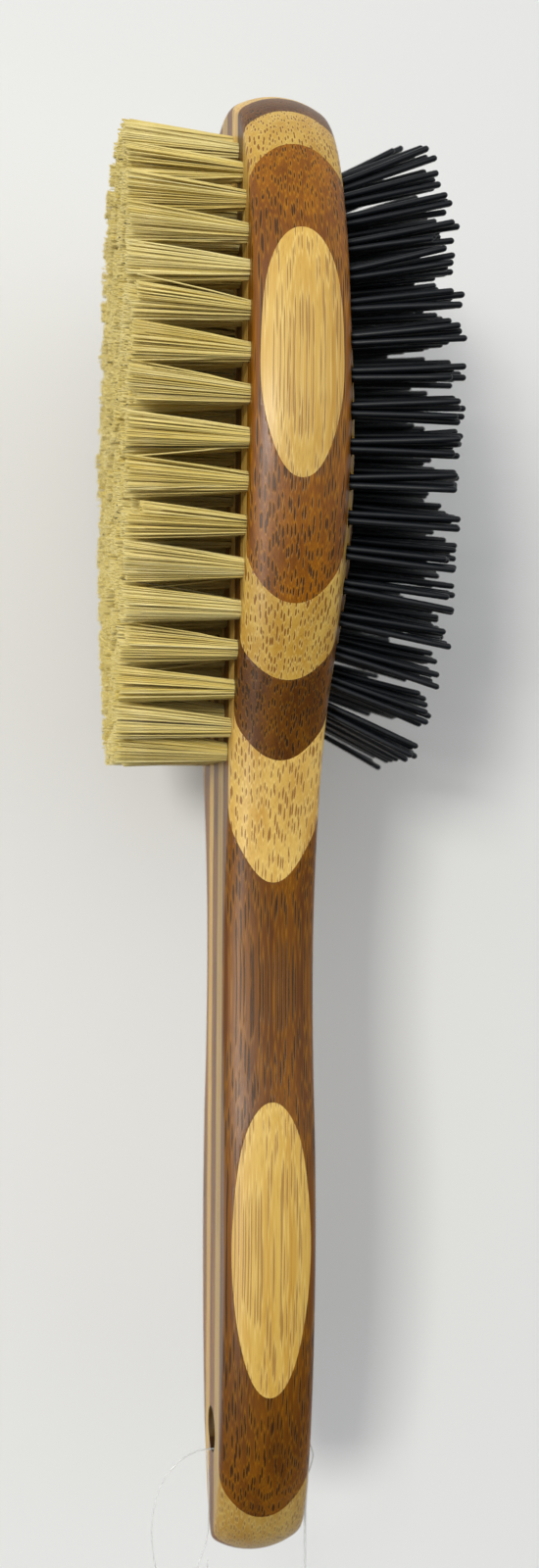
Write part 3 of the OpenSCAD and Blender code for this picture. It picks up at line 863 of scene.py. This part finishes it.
def curved(points, steps=10):
    """A smooth path through the points."""
    points = np.array(points, float)
    ends = 2 * points[0] - points[1], 2 * points[-1] - points[-2]
    control = np.vstack([ends[0], points, ends[1]])
    path = [cubic(*control[i:i + 4], t)
            for i in range(len(points) - 1) for t in np.linspace(0, 1, steps, endpoint=False)]
    return np.array(path + [points[-1]])


def sweep(path, radius, sides):
    """Vertices of a tube that turns with its path."""
    along = unit(np.gradient(path, axis=0), axis=1)
    across = unit(np.cross(along[0], [0, 1.0, .2]))
    verts = []
    for point, way in zip(path, along):
        across = unit(across - way * np.dot(across, way))
        verts.append(point + radius * circle(sides, across, np.cross(way, across)))
    return np.vstack(verts)


def build_thread():
    sides = 8
    verts, faces, first = [], [], 0
    for points in THREAD:
        path = curved(points)
        verts.append(sweep(path, THREAD_R, sides))
        faces += tube_faces(len(path), sides, first)
        first += len(path) * sides
    me = face_mesh("v_hang_loop", np.vstack(verts), faces)
    stand_in("hang_loop", me, thread_material(), ride="hang_loop")


build_thread()

# ---------------------------------------------------------------------------------------------
# Stage, light and camera
# ---------------------------------------------------------------------------------------------
WALL_Y, FLOOR_Z, STAGE_HALF = 46, -320, 2500


def stage_material(name):
    """Pale matt paint, clear from behind."""
    m = Material(name)
    patch = m.noise(m.coords((.004, .004, .004)))
    grain = m.noise(m.coords((.8, .8, .8)), detail=3)
    m.set(Base_Color=m.mix(patch, rgb(228, 229, 228), rgb(232, 233, 232)), Roughness=.75,
          Normal=m.bump(grain, strength=.05, depth=.05))
    geometry = m.node("ShaderNodeNewGeometry")
    clear = m.node("ShaderNodeBsdfTransparent")
    blend = m.node("ShaderNodeMixShader")
    m.put(blend.inputs[0], geometry.outputs["Backfacing"])
    m.put(blend.inputs[1], m.shader.outputs[0])
    m.put(blend.inputs[2], clear.outputs[0])
    m.put(m.out.inputs[0], blend.outputs[0])
    return m.mat


def stage_plane(name, corner):
    """A square whose corner(a, b) gives its points."""
    signs = ((-1, -1), (1, -1), (1, 1), (-1, 1))
    verts = [corner(a * STAGE_HALF, b * STAGE_HALF) for a, b in signs]
    me = face_mesh(name, verts, [[0, 1, 2, 3]], smooth=False)
    set_material(me, stage_material("pale_" + name))
    return add(name, me)


wall = stage_plane("backdrop", lambda x, z: (x, WALL_Y, z))
floor = stage_plane("floor", lambda x, y: (x, y, FLOOR_Z))
floor.visible_diffuse = False
floor.visible_glossy = False


def build_world():
    """A pale room: brightest in front, dimmer overhead and dark below."""
    world = bpy.data.worlds.new("studio")
    bpy.context.scene.world = world
    world.use_nodes = True
    graph = Graph(world.node_tree)
    background = world.node_tree.nodes["Background"]
    axes = graph.node("ShaderNodeSeparateXYZ")
    graph.put(axes.inputs[0], graph.node("ShaderNodeTexCoord").outputs["Generated"])
    z = axes.outputs[2]
    low = graph.ramp(z, start=-.5, end=.22, lo=.05, hi=1.16)
    high = graph.ramp(z, start=.40, end=.95, lo=1.0, hi=.36)
    room = graph.math("MULTIPLY", low, high)
    background.inputs[0].default_value = (.97, .985, 1.0, 1)
    # seen directly, past the backdrop, it is an even pale grey
    rays = graph.node("ShaderNodeLightPath")
    strength = graph.node("ShaderNodeMix", data_type="FLOAT")
    graph.put(strength.inputs[0], rays.outputs["Is Camera Ray"])
    graph.put(strength.inputs[2], room)
    strength.inputs[3].default_value = .70
    graph.put(background.inputs[1], strength.outputs[0])


build_world()
bpy.context.scene.view_settings.view_transform = "Standard"


def area(name, place, target, width, height, power, colour):
    light = bpy.data.lights.new(name, "AREA")
    light.shape = "RECTANGLE"
    light.size = width * MM
    light.size_y = height * MM
    light.energy = power
    light.color = colour
    ob = add(name, light)
    ob.location = Vector(place) * MM
    way = (Vector(target) - Vector(place)).normalized()
    ob.rotation_euler = way.to_track_quat("-Z", "Y").to_euler()
    return ob


area("key", place=(-790, -1420, 360), target=(0, 0, 85), width=330, height=330, power=13.0,
     colour=(1, .975, .92))
# a tall window off to the left, seen only as a satin highlight
window = area("window", place=(-330, -490, 30), target=(0, 0, 60), width=60, height=630,
              power=2.7, colour=(1, .95, .88))
window.visible_diffuse = False

# The camera stands 11.5 degrees round to the bristle side and looks slightly up
AZIMUTH, ELEVATION, ROLL = math.radians(-11.5), math.radians(-1.666), math.radians(.317)
TARGET, DISTANCE = Vector((1.789, 0, 102.163)), 211.51
FOCUS_DISTANCE = 186                    # to the near edge of the brush
SENSOR_H, LENS = 24, 19.9935


def build_camera():
    forward = Vector((-math.sin(AZIMUTH) * math.cos(ELEVATION),
                      math.cos(AZIMUTH) * math.cos(ELEVATION), -math.sin(ELEVATION)))
    level_right = Vector((math.cos(AZIMUTH), math.sin(AZIMUTH), 0))
    level_up = level_right.cross(forward)
    right = math.cos(ROLL) * level_right + math.sin(ROLL) * level_up
    up = -math.sin(ROLL) * level_right + math.cos(ROLL) * level_up
    data = bpy.data.cameras.new("camera")
    camera = add("camera", data)
    place = (TARGET - DISTANCE * forward) * MM
    camera.matrix_world = Matrix((
        (right.x, up.x, -forward.x, place.x),
        (right.y, up.y, -forward.y, place.y),
        (right.z, up.z, -forward.z, place.z),
        (0, 0, 0, 1)))
    data.sensor_fit = "VERTICAL"
    data.sensor_height = SENSOR_H
    data.lens = LENS
    data.clip_start = .005
    data.clip_end = 20
    data.dof.use_dof = True
    focus = add("focus", None)
    focus.location = (TARGET - (DISTANCE - FOCUS_DISTANCE) * forward) * MM
    data.dof.focus_object = focus
    data.dof.aperture_fstop = 11
    bpy.context.scene.camera = camera


build_camera()
